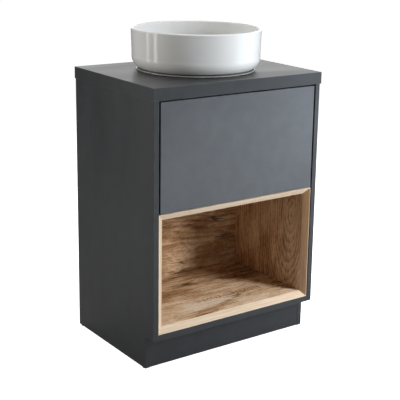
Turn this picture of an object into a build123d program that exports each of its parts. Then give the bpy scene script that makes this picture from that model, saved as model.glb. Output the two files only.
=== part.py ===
from build123d import *
import os

# A 600 mm floor-standing washbasin vanity: a round vessel basin on a laminated worktop, one
# push-open drawer under it and an oak-lined open niche under the drawer.
# Millimetres. X runs to the right, Y to the wall behind, Z up. The origin is on the floor
# under the middle of the worktop.

# Driving dimensions of the cabinet
WIDTH = 600
DEPTH = 450
WORKTOP_TOP = 840
WORKTOP_THICK = 36
OVERHANG = 3
PANEL = 18
SIDE_PANEL = 16
EDGE_ROUND = 0.8
GLIDE_HEIGHT = 3
GLIDE_R = 7.5
TOE_HEIGHT = 102
TOE_DEPTH = 44
PLINTH_SETBACK = 1
PLINTH_THICK = 16
TOP_RAIL_HEIGHT = 100
LOWER_RAIL_HEIGHT = 80
FRONT_RAIL_SETBACK = 24
FRONT_RAIL_DEPTH = 80
WALL_HOLE_R = 3
WALL_HOLE_X = 200

# Cabinet fittings
CAM_R = 7.5
CAM_DEPTH = 12.5
CAM_REACH = 24
ANGLE_ARM = 36
ANGLE_STEEL = 2
ANGLE_Y = (40, 150)
RAIL_SCREW_X = (-200, 0, 200)

# Open niche: mitred boards with a wide bevel round the mouth
NICHE_BOARD = 19
NICHE_ARRIS = 1
NICHE_BEVEL_DEPTH = 14
NICHE_LEFT = -280.5
NICHE_RIGHT = 276.5
NICHE_TOP = 479
NICHE_BACK_Y = 137
NICHE_BACK_THICK = 8

# Drawer
DRAWER_SIDE_GAP = 5.5
DRAWER_TOP_GAP = 5
DRAWER_BOTTOM_Z = 481.5
BOX_BOTTOM_Z = 497
BOX_TOP_Z = 677
BOX_LENGTH = 350
BOX_BOARD = 16
BOX_FLOOR = 8
RECESS_HALF = 80
RECESS_FRONT_Y = -51

# Ball-bearing runners, one each side of the drawer
RUNNER_DEPTH = 12.7
RUNNER_STEEL = 1.2
RUNNER_Z = 567.5
OUTER_RAIL_HEIGHT = 45
MID_RAIL_HEIGHT = 32
INNER_RAIL_HEIGHT = 19
BALL_R = 2.3
CAGE_STEEL = 0.8
CAGE_START = -110
CAGE_LENGTH = 170
BALLS_PER_ROW = 6
OUTER_SCREW_Y = (-170, 0, 130)
INNER_SCREW_Y = (-150, -20, 110)

# Basin, turned about the waste axis
BASIN_R = 197
BASIN_HEIGHT = 125
BASIN_Y = 12
RIM_R = 4.5
SEALANT_THICK = 1
DRAIN_HOLE_R = 23

# Waste
WORKTOP_HOLE_R = 25
SEAT_HEIGHT = 12
SEAL_THICK = 1.5
FLANGE_R = 32.5
FLANGE_THICK = 2.5
TAIL_R = 20.9
TAIL_BORE_R = 17.5
TAIL_END_Z = 770
SPIDER_THICK = 6
CARTRIDGE_R = 5
STEM_R = 3
STEM_BORE_R = 3.05
PLUG_R = 31
PLUG_GAP = 1.2
PLUG_DOME = 3.2
BACK_NUT_R = 34
BACK_NUT_THICK = 11
WASHER_THICK = 3

# Bottle trap
PIPE_R = 16
PIPE_WALL = 1.5
PIPE_END_Z = 600
COLLAR_R = 20.5
NUT_R = 27
NUT_LIP_R = 16.3
RIB_R = 1.5
HEAD_R = 30
HEAD_BORE_R = 26.5
HEAD_TOP_Z = 690
HEAD_BOTTOM_Z = 634
NECK_R = 24
NECK_TOP_Z = 706
CUP_R = 28
CUP_BORE_R = 25
CUP_COLLAR_R = 33
CUP_BOTTOM_Z = 578
OUTLET_Z = 672
OUTLET_R = 19
SOCKET_R = 16.1
SOCKET_START_Y = 52
SOCKET_END_Y = 72

# Heights and faces worked out from them
WORKTOP_UNDER = WORKTOP_TOP - WORKTOP_THICK
FRONT_Y = -DEPTH / 2 + OVERHANG
BACK_Y = DEPTH / 2
OUTER_X = WIDTH / 2 - OVERHANG
INNER_X = OUTER_X - SIDE_PANEL
NICHE_BOTTOM = TOE_HEIGHT + PANEL
BASE_Z = WORKTOP_TOP + SEALANT_THICK
DRAWER_BACK_FACE = FRONT_Y + PANEL
BOX_BACK_Y = DRAWER_BACK_FACE + BOX_LENGTH
BOX_X = INNER_X - RUNNER_DEPTH
WALL_Z = BOX_BOTTOM_Z + BOX_FLOOR
RAIL_START_Y = DRAWER_BACK_FACE + 4
UNDER_RAIL_Z = WORKTOP_UNDER - PANEL
FLANGE_Z = BASE_Z + SEAT_HEIGHT + SEAL_THICK
FLANGE_TOP = FLANGE_Z + FLANGE_THICK
SPIDER_Z = BASE_Z - 3
COLLAR_Z = TAIL_END_Z - 6


def block(x0, x1, y0, y1, z0, z1):
    """A board between three pairs of faces."""
    size = Box(x1 - x0, y1 - y0, z1 - z0)
    return Pos((x0 + x1) / 2, (y0 + y1) / 2, (z0 + z1) / 2) * size


def soft_block(x0, x1, y0, y1, z0, z1):
    """A laminated board with its edges eased."""
    board = block(x0, x1, y0, y1, z0, z1)
    return fillet(board.edges(), EDGE_ROUND)


def turned(points, y=BASIN_Y):
    """A closed outline of (radius, height) points turned about the upright waste axis."""
    outline = Plane.XZ * make_face(Polyline(*points, close=True))
    return Pos(0, y, 0) * revolve(outline, Axis.Z)


def tube(r_in, r_out, z0, z1):
    """A plain ring on the waste axis."""
    return turned([(r_in, z0), (r_out, z0), (r_out, z1), (r_in, z1)])


def rod(radius, z0, z1, x, y):
    """An upright cylinder."""
    height = z1 - z0
    return Pos(x, y, (z0 + z1) / 2) * Cylinder(radius, height)


def grips(radius, z0, z1, count):
    """Upright finger ribs round a hand nut or cup."""
    rib = Pos(radius, 0, 0) * rod(RIB_R, z0, z1, 0, 0)
    return [Pos(0, BASIN_Y, 0) * Rot(0, 0, 360 * i / count) * rib for i in range(count)]


def both_sides(shapes):
    """The shapes and their mirror images in the cabinet's middle plane."""
    return shapes + [shape.mirror(Plane.YZ) for shape in shapes]


def pan_screw(length, shank_r=2, head_r=4, head=2.2):
    """A pan-head wood screw, its head's seat at z = 0 and its shank running down."""
    shank = Pos(0, 0, -length / 2) * Cylinder(shank_r, length)
    cap = Pos(0, 0, head / 2) * Cylinder(head_r, head)
    drive = Pos(0, 0, head) * (Box(4.4, 0.9, 1.6) + Box(0.9, 4.4, 1.6))
    return shank + fillet(cap.edges().sort_by(Axis.Z)[-1], 1) - drive


def flush_screw(length, shank_r=1.9, head_r=3.4, head=2.2):
    """A countersunk wood screw, its face at z = 0 and its shank running down."""
    cone = Pos(0, 0, -head / 2) * Cone(shank_r, head_r, head)
    shank = Pos(0, 0, -head - length / 2) * Cylinder(shank_r, length)
    drive = Box(3.6, 0.8, 1.6) + Box(0.8, 3.6, 1.6)
    return cone + shank - drive


def flush_plug(length, shank_r=1.9, head_r=3.4, head=2.2):
    """The hole that a countersunk screw fills."""
    cone = Pos(0, 0, -head / 2) * Cone(shank_r, head_r, head)
    return cone + Pos(0, 0, -head - length / 2) * Cylinder(shank_r, length)


# ---- Carcass --------------------------------------------------------------------------------

def make_worktop():
    """The thick laminated top with one hole for the basin waste."""
    top = soft_block(-WIDTH / 2, WIDTH / 2, -DEPTH / 2, DEPTH / 2, WORKTOP_UNDER, WORKTOP_TOP)
    return top - rod(WORKTOP_HOLE_R, WORKTOP_UNDER - 1, WORKTOP_TOP + 1, 0, BASIN_Y)


def make_side_panel(side):
    """A side panel that runs to the floor, with the toe notch cut from its front foot."""
    notch_y = FRONT_Y + TOE_DEPTH
    outline = Polyline(
        (FRONT_Y, TOE_HEIGHT), (FRONT_Y, WORKTOP_UNDER), (BACK_Y, WORKTOP_UNDER),
        (BACK_Y, GLIDE_HEIGHT), (notch_y, GLIDE_HEIGHT), (notch_y, TOE_HEIGHT), close=True)
    panel = extrude(Plane.YZ * make_face(outline), SIDE_PANEL)
    panel = fillet(panel.edges(), EDGE_ROUND)
    left_face = INNER_X if side > 0 else -OUTER_X
    return Pos(left_face, 0, 0) * panel


def make_bottom_panel():
    """The cabinet floor between the side panels, level with the top of the toe notch."""
    return block(-INNER_X, INNER_X, FRONT_Y, BACK_Y, TOE_HEIGHT, TOE_HEIGHT + PANEL)


def make_top_front_rail():
    """The flat rail behind the drawer front that the worktop is screwed to."""
    y0 = FRONT_Y + FRONT_RAIL_SETBACK
    return block(-INNER_X, INNER_X, y0, y0 + FRONT_RAIL_DEPTH, UNDER_RAIL_Z, WORKTOP_UNDER)


def make_top_back_rail():
    """The upright rail at the wall, drilled for the two wall screws."""
    z0 = WORKTOP_UNDER - TOP_RAIL_HEIGHT
    rail = block(-INNER_X, INNER_X, BACK_Y - PANEL, BACK_Y, z0, WORKTOP_UNDER)
    hole = Rot(90, 0, 0) * Cylinder(WALL_HOLE_R, 4 * PANEL)
    for x in (-WALL_HOLE_X, WALL_HOLE_X):
        rail = rail - Pos(x, BACK_Y, z0 + TOP_RAIL_HEIGHT / 2) * hole
    return rail


def make_lower_back_rail():
    """The upright rail that stands on the cabinet floor at the wall."""
    top = NICHE_BOTTOM + LOWER_RAIL_HEIGHT
    return block(-INNER_X, INNER_X, BACK_Y - PANEL, BACK_Y, NICHE_BOTTOM, top)


def make_plinth_board():
    """The toe board between the side panels, just clear of the floor."""
    y0 = FRONT_Y + TOE_DEPTH + PLINTH_SETBACK
    return block(-INNER_X, INNER_X, y0, y0 + PLINTH_THICK, GLIDE_HEIGHT + 1, TOE_HEIGHT)


def make_glides():
    """Four nail-in plastic glides under the ends of the side panels."""
    glides = []
    for x in (-OUTER_X + SIDE_PANEL / 2, OUTER_X - SIDE_PANEL / 2):
        for y in (FRONT_Y + TOE_DEPTH + 16, BACK_Y - 16):
            pad = rod(GLIDE_R, 0, GLIDE_HEIGHT, x, y)
            pad = fillet(pad.edges().sort_by(Axis.Z)[0], 0.8)
            glides.append(pad + rod(1.2, GLIDE_HEIGHT, GLIDE_HEIGHT + 12, x, y))
    return glides


def cam_places():
    """Middle of each cam lock, with its slotted face towards -Z of the place."""
    reach = INNER_X - CAM_REACH
    half = CAM_DEPTH / 2
    plinth_y = FRONT_Y + TOE_DEPTH + PLINTH_SETBACK + PLINTH_THICK
    places = []
    for x in (-reach, reach):
        for y in (FRONT_Y + 40, FRONT_Y + 88):
            places.append(Pos(x, y, UNDER_RAIL_Z + half))
        for y in (FRONT_Y + 90, BACK_Y - 60):
            places.append(Pos(x, y, TOE_HEIGHT + half))
        for z in (WORKTOP_UNDER - 70, NICHE_BOTTOM + 40):
            places.append(Pos(x, BACK_Y - PANEL + half, z) * Rot(-90, 0, 0))
        places.append(Pos(x, plinth_y - half, TOE_HEIGHT / 2) * Rot(90, 0, 0))
    return places


def make_cam_locks():
    """Turn-lock fittings that pull the rails, plinth and cabinet floor onto the side panels."""
    slots = Pos(0, 0, -CAM_DEPTH / 2) * (Box(8, 1.2, 2.4) + Box(1.2, 8, 2.4))
    cam = Cylinder(CAM_R, CAM_DEPTH) - slots
    return [place * cam for place in cam_places()]


def make_worktop_brackets():
    """Four steel angles that hold the worktop's back half to the side panels."""
    low = WORKTOP_UNDER - ANGLE_ARM
    angles = []
    for y in ANGLE_Y:
        foot = block(INNER_X - ANGLE_STEEL, INNER_X, y - 10, y + 10, low, WORKTOP_UNDER)
        lip_z = WORKTOP_UNDER - ANGLE_STEEL
        lip = block(INNER_X - ANGLE_ARM, INNER_X, y - 10, y + 10, lip_z, WORKTOP_UNDER)
        angles.append(foot + lip)
    return both_sides(angles)


def make_worktop_screws():
    """Screws up through the front rail and the steel angles, and sideways into the side panels."""
    up = Rot(180, 0, 0)
    rail_y = FRONT_Y + FRONT_RAIL_SETBACK + FRONT_RAIL_DEPTH / 2
    rail_screws = [Pos(x, rail_y, UNDER_RAIL_Z) * up * pan_screw(40) for x in RAIL_SCREW_X]
    angle_screws = []
    for y in ANGLE_Y:
        angle_screws.append(Pos(INNER_X - 24, y, WORKTOP_UNDER - ANGLE_STEEL) * up * pan_screw(16))
        into_side = Pos(INNER_X - ANGLE_STEEL, y, WORKTOP_UNDER - 24) * Rot(0, -90, 0)
        angle_screws.append(into_side * pan_screw(16))
    return rail_screws + both_sides(angle_screws)


# ---- Niche ----------------------------------------------------------------------------------

def niche_mouth():
    """The tapered opening that cuts the bevel: a frustum from the front edge to the inner faces."""
    width = NICHE_RIGHT - NICHE_LEFT
    height = NICHE_TOP - NICHE_BOTTOM
    centre_x = (NICHE_LEFT + NICHE_RIGHT) / 2
    centre_z = (NICHE_TOP + NICHE_BOTTOM) / 2
    wide = Rectangle(width - 2 * NICHE_ARRIS, height - 2 * NICHE_ARRIS)
    narrow = Rectangle(width - 2 * NICHE_BOARD, height - 2 * NICHE_BOARD)
    front = Plane((centre_x, FRONT_Y, centre_z), x_dir=(1, 0, 0), z_dir=(0, -1, 0))
    inner = Plane((centre_x, FRONT_Y + NICHE_BEVEL_DEPTH, centre_z), x_dir=(1, 0, 0), z_dir=(0, -1, 0))
    return loft([front * wide, inner * narrow])


def make_niche_boards():
    """Four boards mitred at the corners, each bevelled towards the inside at the front."""
    x0, x1 = NICHE_LEFT, NICHE_RIGHT
    z0, z1 = NICHE_BOTTOM, NICHE_TOP
    t = NICHE_BOARD
    outlines = {
        "niche_board_top": [(x0, z1), (x1, z1), (x1 - t, z1 - t), (x0 + t, z1 - t)],
        "niche_board_bottom": [(x0, z0), (x1, z0), (x1 - t, z0 + t), (x0 + t, z0 + t)],
        "niche_board_left": [(x0, z0), (x0, z1), (x0 + t, z1 - t), (x0 + t, z0 + t)],
        "niche_board_right": [(x1, z0), (x1, z1), (x1 - t, z1 - t), (x1 - t, z0 + t)]}
    mouth = niche_mouth()
    boards = {}
    for name, corners in outlines.items():
        face = Plane.XZ * make_face(Polyline(*corners, close=True))
        board = Pos(0, NICHE_BACK_Y, 0) * extrude(face, NICHE_BACK_Y - FRONT_Y)
        boards[name] = board - mouth
    return boards


def make_niche_back():
    """The back board, fixed behind the four mitred boards."""
    y1 = NICHE_BACK_Y + NICHE_BACK_THICK
    return block(NICHE_LEFT, NICHE_RIGHT, NICHE_BACK_Y, y1, NICHE_BOTTOM, NICHE_TOP)


# ---- Basin and waste ------------------------------------------------------------------------

def make_basin():
    """The bowl: foot ring, shadow groove, curved heel, near-upright wall, round rim, drain seat."""
    rim_z = BASIN_HEIGHT - RIM_R
    inner_r = BASIN_R - 2 * RIM_R
    centre_r = BASIN_R - RIM_R
    heel = (178.5, 6.5)
    edges = [
        Line((centre_r + 2, 44), (BASIN_R, rim_z)),
        ThreePointArc((BASIN_R, rim_z), (centre_r, BASIN_HEIGHT), (inner_r, rim_z)),
        Line((inner_r, rim_z), (inner_r - 2.5, 52)),
        ThreePointArc((inner_r - 2.5, 52), (175.5, 26.5), (150, 17.5)),
        Polyline((150, 17.5), (34, 15), (34, SEAT_HEIGHT), (DRAIN_HOLE_R, SEAT_HEIGHT),
                 (DRAIN_HOLE_R, 0), (45, 0), (50, 5), (166, 5), (170, 0), (180, 0),
                 (180, 4.2), (174, 4.2), (174, 6.5), heel),
        ThreePointArc(heel, (189.2, 19.5), (centre_r + 2, 44))]
    outline = Plane.XZ * make_face(Curve() + edges)
    return Pos(0, BASIN_Y, BASE_Z) * revolve(outline, Axis.Z)


def make_waste_body():
    """The waste: polished flange, threaded tail through basin and worktop, and the four-arm spider."""
    shell = turned([
        (TAIL_BORE_R, TAIL_END_Z), (TAIL_R, TAIL_END_Z), (TAIL_R, FLANGE_Z), (FLANGE_R - 1, FLANGE_Z),
        (FLANGE_R, FLANGE_Z + 1), (FLANGE_R - 1, FLANGE_TOP), (TAIL_BORE_R + 2, FLANGE_TOP),
        (TAIL_BORE_R, FLANGE_TOP - 2)])
    hub = tube(CARTRIDGE_R, 8, SPIDER_Z, SPIDER_Z + SPIDER_THICK)
    half = SPIDER_THICK / 2
    arm = Pos((7.5 + TAIL_BORE_R + 1) / 2, 0, 0) * Box(TAIL_BORE_R + 1 - 7.5, 3, SPIDER_THICK)
    place = Pos(0, BASIN_Y, SPIDER_Z + half)
    for quarter in range(4):
        shell = shell + place * Rot(0, 0, 90 * quarter) * arm
    return shell + hub


def make_plug_cartridge():
    """The click mechanism's sleeve, screwed into the spider."""
    return turned([
        (0, SPIDER_Z - 6), (CARTRIDGE_R, SPIDER_Z - 6), (CARTRIDGE_R, SPIDER_Z + SPIDER_THICK),
        (7, SPIDER_Z + SPIDER_THICK), (7, SPIDER_Z + SPIDER_THICK + 7),
        (STEM_BORE_R, SPIDER_Z + SPIDER_THICK + 7), (STEM_BORE_R, SPIDER_Z - 4), (0, SPIDER_Z - 4)])


def make_waste_plug():
    """The domed push plug and the stem that slides in the cartridge."""
    under = FLANGE_TOP + PLUG_GAP
    edge_top = under + 1.8
    top = edge_top + PLUG_DOME
    dome_r = (PLUG_R ** 2 + PLUG_DOME ** 2) / (2 * PLUG_DOME)
    half_way = top - dome_r + (dome_r ** 2 - (PLUG_R / 2) ** 2) ** 0.5
    edges = [
        Polyline((0, SPIDER_Z), (STEM_R, SPIDER_Z), (STEM_R, under - 2), (14, under - 2), (14, under),
                 (PLUG_R - 0.6, under), (PLUG_R, under + 0.6), (PLUG_R, edge_top)),
        ThreePointArc((PLUG_R, edge_top), (PLUG_R / 2, half_way), (0, top)),
        Line((0, top), (0, SPIDER_Z))]
    outline = Plane.XZ * make_face(Curve() + edges)
    return Pos(0, BASIN_Y, 0) * revolve(outline, Axis.Z)


def make_plug_seal():
    """The rubber ring under the plug that closes on the flange."""
    return tube(14, 24, FLANGE_TOP + 0.2, FLANGE_TOP + PLUG_GAP)


def make_waste_nut():
    """The hexagonal back nut that clamps basin and worktop together."""
    hexagon = extrude(RegularPolygon(BACK_NUT_R, 6), BACK_NUT_THICK)
    body = Pos(0, BASIN_Y, WORKTOP_UNDER - WASHER_THICK - BACK_NUT_THICK) * hexagon
    return body - rod(TAIL_R, 700, 900, 0, BASIN_Y)


def make_trap_inlet():
    """The coupling on the waste's tail: hand nut, washer and the tube that dips into the cup."""
    bore_r = PIPE_R - PIPE_WALL
    nut = turned([
        (NUT_LIP_R, COLLAR_Z - 6), (NUT_R, COLLAR_Z - 6), (NUT_R, TAIL_END_Z + 16),
        (TAIL_R + 0.1, TAIL_END_Z + 16), (TAIL_R + 0.1, COLLAR_Z), (NUT_LIP_R, COLLAR_Z)])
    tail_tube = turned([
        (bore_r, PIPE_END_Z), (PIPE_R, PIPE_END_Z), (PIPE_R, COLLAR_Z), (COLLAR_R, COLLAR_Z),
        (COLLAR_R, COLLAR_Z + 3), (bore_r, COLLAR_Z + 3)])
    return {
        "trap_inlet_nut": nut + grips(NUT_R - 0.3, COLLAR_Z - 4, TAIL_END_Z + 14, 12),
        "trap_inlet_washer": tube(15, COLLAR_R, COLLAR_Z + 3, TAIL_END_Z),
        "trap_inlet_tube": tail_tube}


def make_trap_head():
    """The trap's head with its neck, side outlet and socket, and the nut and seal on the neck."""
    nut_top = NECK_TOP_Z + 10
    seal_top = NECK_TOP_Z + 5
    nut = turned([
        (NUT_LIP_R, nut_top), (NUT_R, nut_top), (NUT_R, NECK_TOP_Z - 14), (NECK_R + 0.05, NECK_TOP_Z - 14),
        (NECK_R + 0.05, seal_top), (NUT_LIP_R, seal_top)])
    head = turned([
        (HEAD_BORE_R, HEAD_BOTTOM_Z), (HEAD_R, HEAD_BOTTOM_Z), (HEAD_R, HEAD_TOP_Z), (NECK_R, HEAD_TOP_Z),
        (NECK_R, NECK_TOP_Z), (NUT_LIP_R, NECK_TOP_Z), (NUT_LIP_R, HEAD_TOP_Z - 4),
        (HEAD_BORE_R, HEAD_TOP_Z - 4)])
    along_y = Rot(90, 0, 0)
    inside_y = BASIN_Y + HEAD_BORE_R
    boss_length = SOCKET_END_Y - inside_y
    boss = Pos(0, inside_y + boss_length / 2, OUTLET_Z) * along_y * Cylinder(OUTLET_R, boss_length)
    bore = Pos(0, BASIN_Y + 24, OUTLET_Z) * along_y * Cylinder(SOCKET_R - 2.6, 32)
    socket_length = SOCKET_END_Y - SOCKET_START_Y
    socket_y = SOCKET_START_Y + socket_length / 2
    socket = Pos(0, socket_y, OUTLET_Z) * along_y * Cylinder(SOCKET_R, socket_length)
    cavity = rod(HEAD_BORE_R, HEAD_BOTTOM_Z, HEAD_TOP_Z - 4, 0, BASIN_Y)
    return {
        "trap_body_nut": nut + grips(NUT_R - 0.3, NECK_TOP_Z - 12, nut_top - 2, 12),
        "trap_body_seal": tube(PIPE_R + 0.05, NECK_R - 0.5, NECK_TOP_Z, seal_top),
        "trap_body": head + (boss - cavity) - bore - socket}


def make_trap_cup():
    """The screw-on cup that holds the water seal, with its ribbed collar and flat seal."""
    collar_z = HEAD_BOTTOM_Z - 6
    seal_z = HEAD_BOTTOM_Z - 2
    thread_r = HEAD_R + 0.15
    cup = turned([
        (0, CUP_BOTTOM_Z), (CUP_BORE_R, CUP_BOTTOM_Z), (CUP_R, CUP_BOTTOM_Z + 3), (CUP_R, collar_z - 2),
        (CUP_COLLAR_R, collar_z), (CUP_COLLAR_R, HEAD_BOTTOM_Z + 18), (thread_r, HEAD_BOTTOM_Z + 18),
        (thread_r, seal_z), (CUP_BORE_R, seal_z), (CUP_BORE_R, CUP_BOTTOM_Z + 3), (0, CUP_BOTTOM_Z + 3)])
    return {
        "trap_cup": cup + grips(CUP_COLLAR_R - 0.3, collar_z + 2, HEAD_BOTTOM_Z + 16, 16),
        "trap_cup_seal": tube(CUP_BORE_R + 0.2, HEAD_R, seal_z, HEAD_BOTTOM_Z)}


def outlet_ring(points):
    """A closed outline of (radius, y) points turned about the outlet's axis."""
    flat = [(r, -y) for r, y in points]
    ring = revolve(Plane.XZ * make_face(Polyline(*flat, close=True)), Axis.Z)
    return Pos(0, 0, OUTLET_Z) * Rot(90, 0, 0) * ring


def make_outlet_nut():
    """The compression nut on the side outlet."""
    thread_r = OUTLET_R + 0.05
    seal_y = SOCKET_END_Y + 5
    return outlet_ring([
        (thread_r, SOCKET_END_Y - 14), (25, SOCKET_END_Y - 14), (25, seal_y + 5), (NUT_LIP_R, seal_y + 5),
        (NUT_LIP_R, seal_y), (thread_r, seal_y)])


def make_outlet_seal():
    """The rubber ring that grips the wall pipe."""
    y0, y1 = SOCKET_END_Y, SOCKET_END_Y + 5
    return outlet_ring([(SOCKET_R, y0), (OUTLET_R - 0.2, y0), (OUTLET_R - 0.2, y1), (SOCKET_R, y1)])


# ---- Drawer ---------------------------------------------------------------------------------

def make_drawer_front():
    """The slab front, set in flush between the side panels."""
    half = INNER_X - DRAWER_SIDE_GAP
    top = WORKTOP_UNDER - DRAWER_TOP_GAP
    return soft_block(-half, half, FRONT_Y, DRAWER_BACK_FACE, DRAWER_BOTTOM_Z, top)


def make_drawer_box():
    """The box behind the front, with a recess from the back that clears the trap."""
    inner = BOX_X - BOX_BOARD
    front_wall = DRAWER_BACK_FACE + BOX_BOARD
    back_wall = BOX_BACK_Y - BOX_BOARD
    recess_out = RECESS_HALF + BOX_BOARD
    recess_front = RECESS_FRONT_Y - BOX_BOARD
    z0, z1 = WALL_Z, BOX_TOP_Z
    parts = {
        "drawer_side_left": block(-BOX_X, -inner, DRAWER_BACK_FACE, BOX_BACK_Y, z0, z1),
        "drawer_side_right": block(inner, BOX_X, DRAWER_BACK_FACE, BOX_BACK_Y, z0, z1),
        "drawer_box_front": block(-inner, inner, DRAWER_BACK_FACE, front_wall, z0, z1),
        "drawer_back_left": block(-inner, -recess_out, back_wall, BOX_BACK_Y, z0, z1),
        "drawer_back_right": block(recess_out, inner, back_wall, BOX_BACK_Y, z0, z1),
        "recess_wall_left": block(-recess_out, -RECESS_HALF, RECESS_FRONT_Y, BOX_BACK_Y, z0, z1),
        "recess_wall_right": block(RECESS_HALF, recess_out, RECESS_FRONT_Y, BOX_BACK_Y, z0, z1),
        "recess_wall_front": block(-recess_out, recess_out, recess_front, RECESS_FRONT_Y, z0, z1)}
    floor = block(-BOX_X, BOX_X, DRAWER_BACK_FACE, BOX_BACK_Y, BOX_BOTTOM_Z, WALL_Z)
    gap = block(-RECESS_HALF, RECESS_HALF, RECESS_FRONT_Y, BOX_BACK_Y + 1, BOX_BOTTOM_Z - 1, WALL_Z + 1)
    parts["drawer_floor"] = floor - gap
    return parts


def make_drawer_front_screws():
    """Screws from inside the box into the slab front."""
    y = DRAWER_BACK_FACE + BOX_BOARD
    turn = Rot(-90, 0, 0)
    return [Pos(x, y, z) * turn * pan_screw(28) for x in (-200, 200) for z in (545, 637)]


# ---- Runners --------------------------------------------------------------------------------

def channel(x_plate, x_open, half_height, y0, y1, lip=0):
    """A pressed steel C rail on the right-hand side: plate at x_plate, flanges out to x_open."""
    t = RUNNER_STEEL
    inward = 1 if x_open > x_plate else -1
    plate_x = sorted((x_plate, x_plate + inward * t))
    flange_x = sorted((x_plate, x_open))
    rail = block(*plate_x, y0, y1, RUNNER_Z - half_height, RUNNER_Z + half_height)
    for side in (-1, 1):
        edge = sorted((RUNNER_Z + side * half_height, RUNNER_Z + side * (half_height - t)))
        rail = rail + block(*flange_x, y0, y1, *edge)
        if lip:
            lip_x = sorted((x_open, x_open - inward * t))
            lip_z = sorted((RUNNER_Z + side * half_height, RUNNER_Z + side * (half_height - lip)))
            rail = rail + block(*lip_x, y0, y1, *lip_z)
    return rail


def ball_cage(x_strip, half_height, ball_z):
    """A cage strip with a row of steel balls along each edge, on its open side."""
    strip_z = (RUNNER_Z - half_height, RUNNER_Z + half_height)
    cage = [block(x_strip, x_strip + CAGE_STEEL, CAGE_START, CAGE_START + CAGE_LENGTH, *strip_z)]
    pitch = (CAGE_LENGTH - 20) / (BALLS_PER_ROW - 1)
    for side in (-1, 1):
        for i in range(BALLS_PER_ROW):
            y = CAGE_START + 10 + i * pitch
            cage.append(Pos(x_strip - 0.1 - BALL_R, y, RUNNER_Z + side * ball_z) * Sphere(BALL_R))
    return Compound(children=cage)


def make_runners():
    """Both runners: outer rail on the cabinet, mid rail, inner rail on the drawer, two ball cages."""
    t = RUNNER_STEEL
    end = RAIL_START_Y + BOX_LENGTH
    outer_half = OUTER_RAIL_HEIGHT / 2
    mid_half = MID_RAIL_HEIGHT / 2
    inner_half = INNER_RAIL_HEIGHT / 2
    mid_x = INNER_X - t - 2.2
    outer_ball_z = (outer_half - t + mid_half) / 2
    inner_ball_z = (mid_half - t + inner_half) / 2
    rails = {
        "outer_rail": channel(INNER_X, INNER_X - 10, outer_half, RAIL_START_Y, end + 24, lip=4),
        "mid_rail": channel(mid_x, mid_x - 6.4, mid_half, RAIL_START_Y, end),
        "inner_rail": channel(BOX_X, BOX_X + 6.7, inner_half, RAIL_START_Y, end),
        "outer_ball_cage": ball_cage(mid_x + 0.7, outer_half - 3, outer_ball_z),
        "inner_ball_cage": ball_cage(mid_x - t - 1.1, mid_half - 2.5, inner_ball_z)}
    for y in OUTER_SCREW_Y:
        rails["outer_rail"] = rails["outer_rail"] - outer_screw_place(y) * flush_plug(11)
    for y in INNER_SCREW_Y:
        rails["inner_rail"] = rails["inner_rail"] - inner_screw_place(y) * flush_plug(11)
    sided = {}
    for name, rail in rails.items():
        sided[name + "_right"] = rail
        sided[name + "_left"] = rail.mirror(Plane.YZ)
    return sided


def outer_screw_place(y):
    """Face of an outer rail screw: flush with the plate, shank into the right side panel."""
    return Pos(INNER_X - RUNNER_STEEL, y, RUNNER_Z) * Rot(0, -90, 0)


def inner_screw_place(y):
    """Face of an inner rail screw: flush with the plate, shank into the right drawer side."""
    return Pos(BOX_X + RUNNER_STEEL, y, RUNNER_Z) * Rot(0, 90, 0)


def make_push_open_units():
    """Plastic push-to-open latches clipped into the back ends of the outer rails."""
    y0 = RAIL_START_Y + BOX_LENGTH + 4
    unit = block(INNER_X - 9.5, INNER_X - RUNNER_STEEL, y0, y0 + 18, RUNNER_Z - 15, RUNNER_Z + 15)
    unit = fillet(unit.edges().filter_by(Axis.X), 3)
    return both_sides([unit])


# ---- Assembly -------------------------------------------------------------------------------

def drill(part, tools):
    """The part with holes that its fasteners fill."""
    for tool in tools:
        part = part - tool
    return part


glides = make_glides()
cam_pockets = [place * Cylinder(CAM_R, CAM_DEPTH) for place in cam_places()]
worktop_screws = make_worktop_screws()
front_screws = make_drawer_front_screws()
outer_screws = both_sides([outer_screw_place(y) * flush_screw(11) for y in OUTER_SCREW_Y])
outer_holes = both_sides([outer_screw_place(y) * flush_plug(11) for y in OUTER_SCREW_Y])
inner_screws = both_sides([inner_screw_place(y) * flush_screw(11) for y in INNER_SCREW_Y])
inner_holes = both_sides([inner_screw_place(y) * flush_plug(11) for y in INNER_SCREW_Y])

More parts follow.
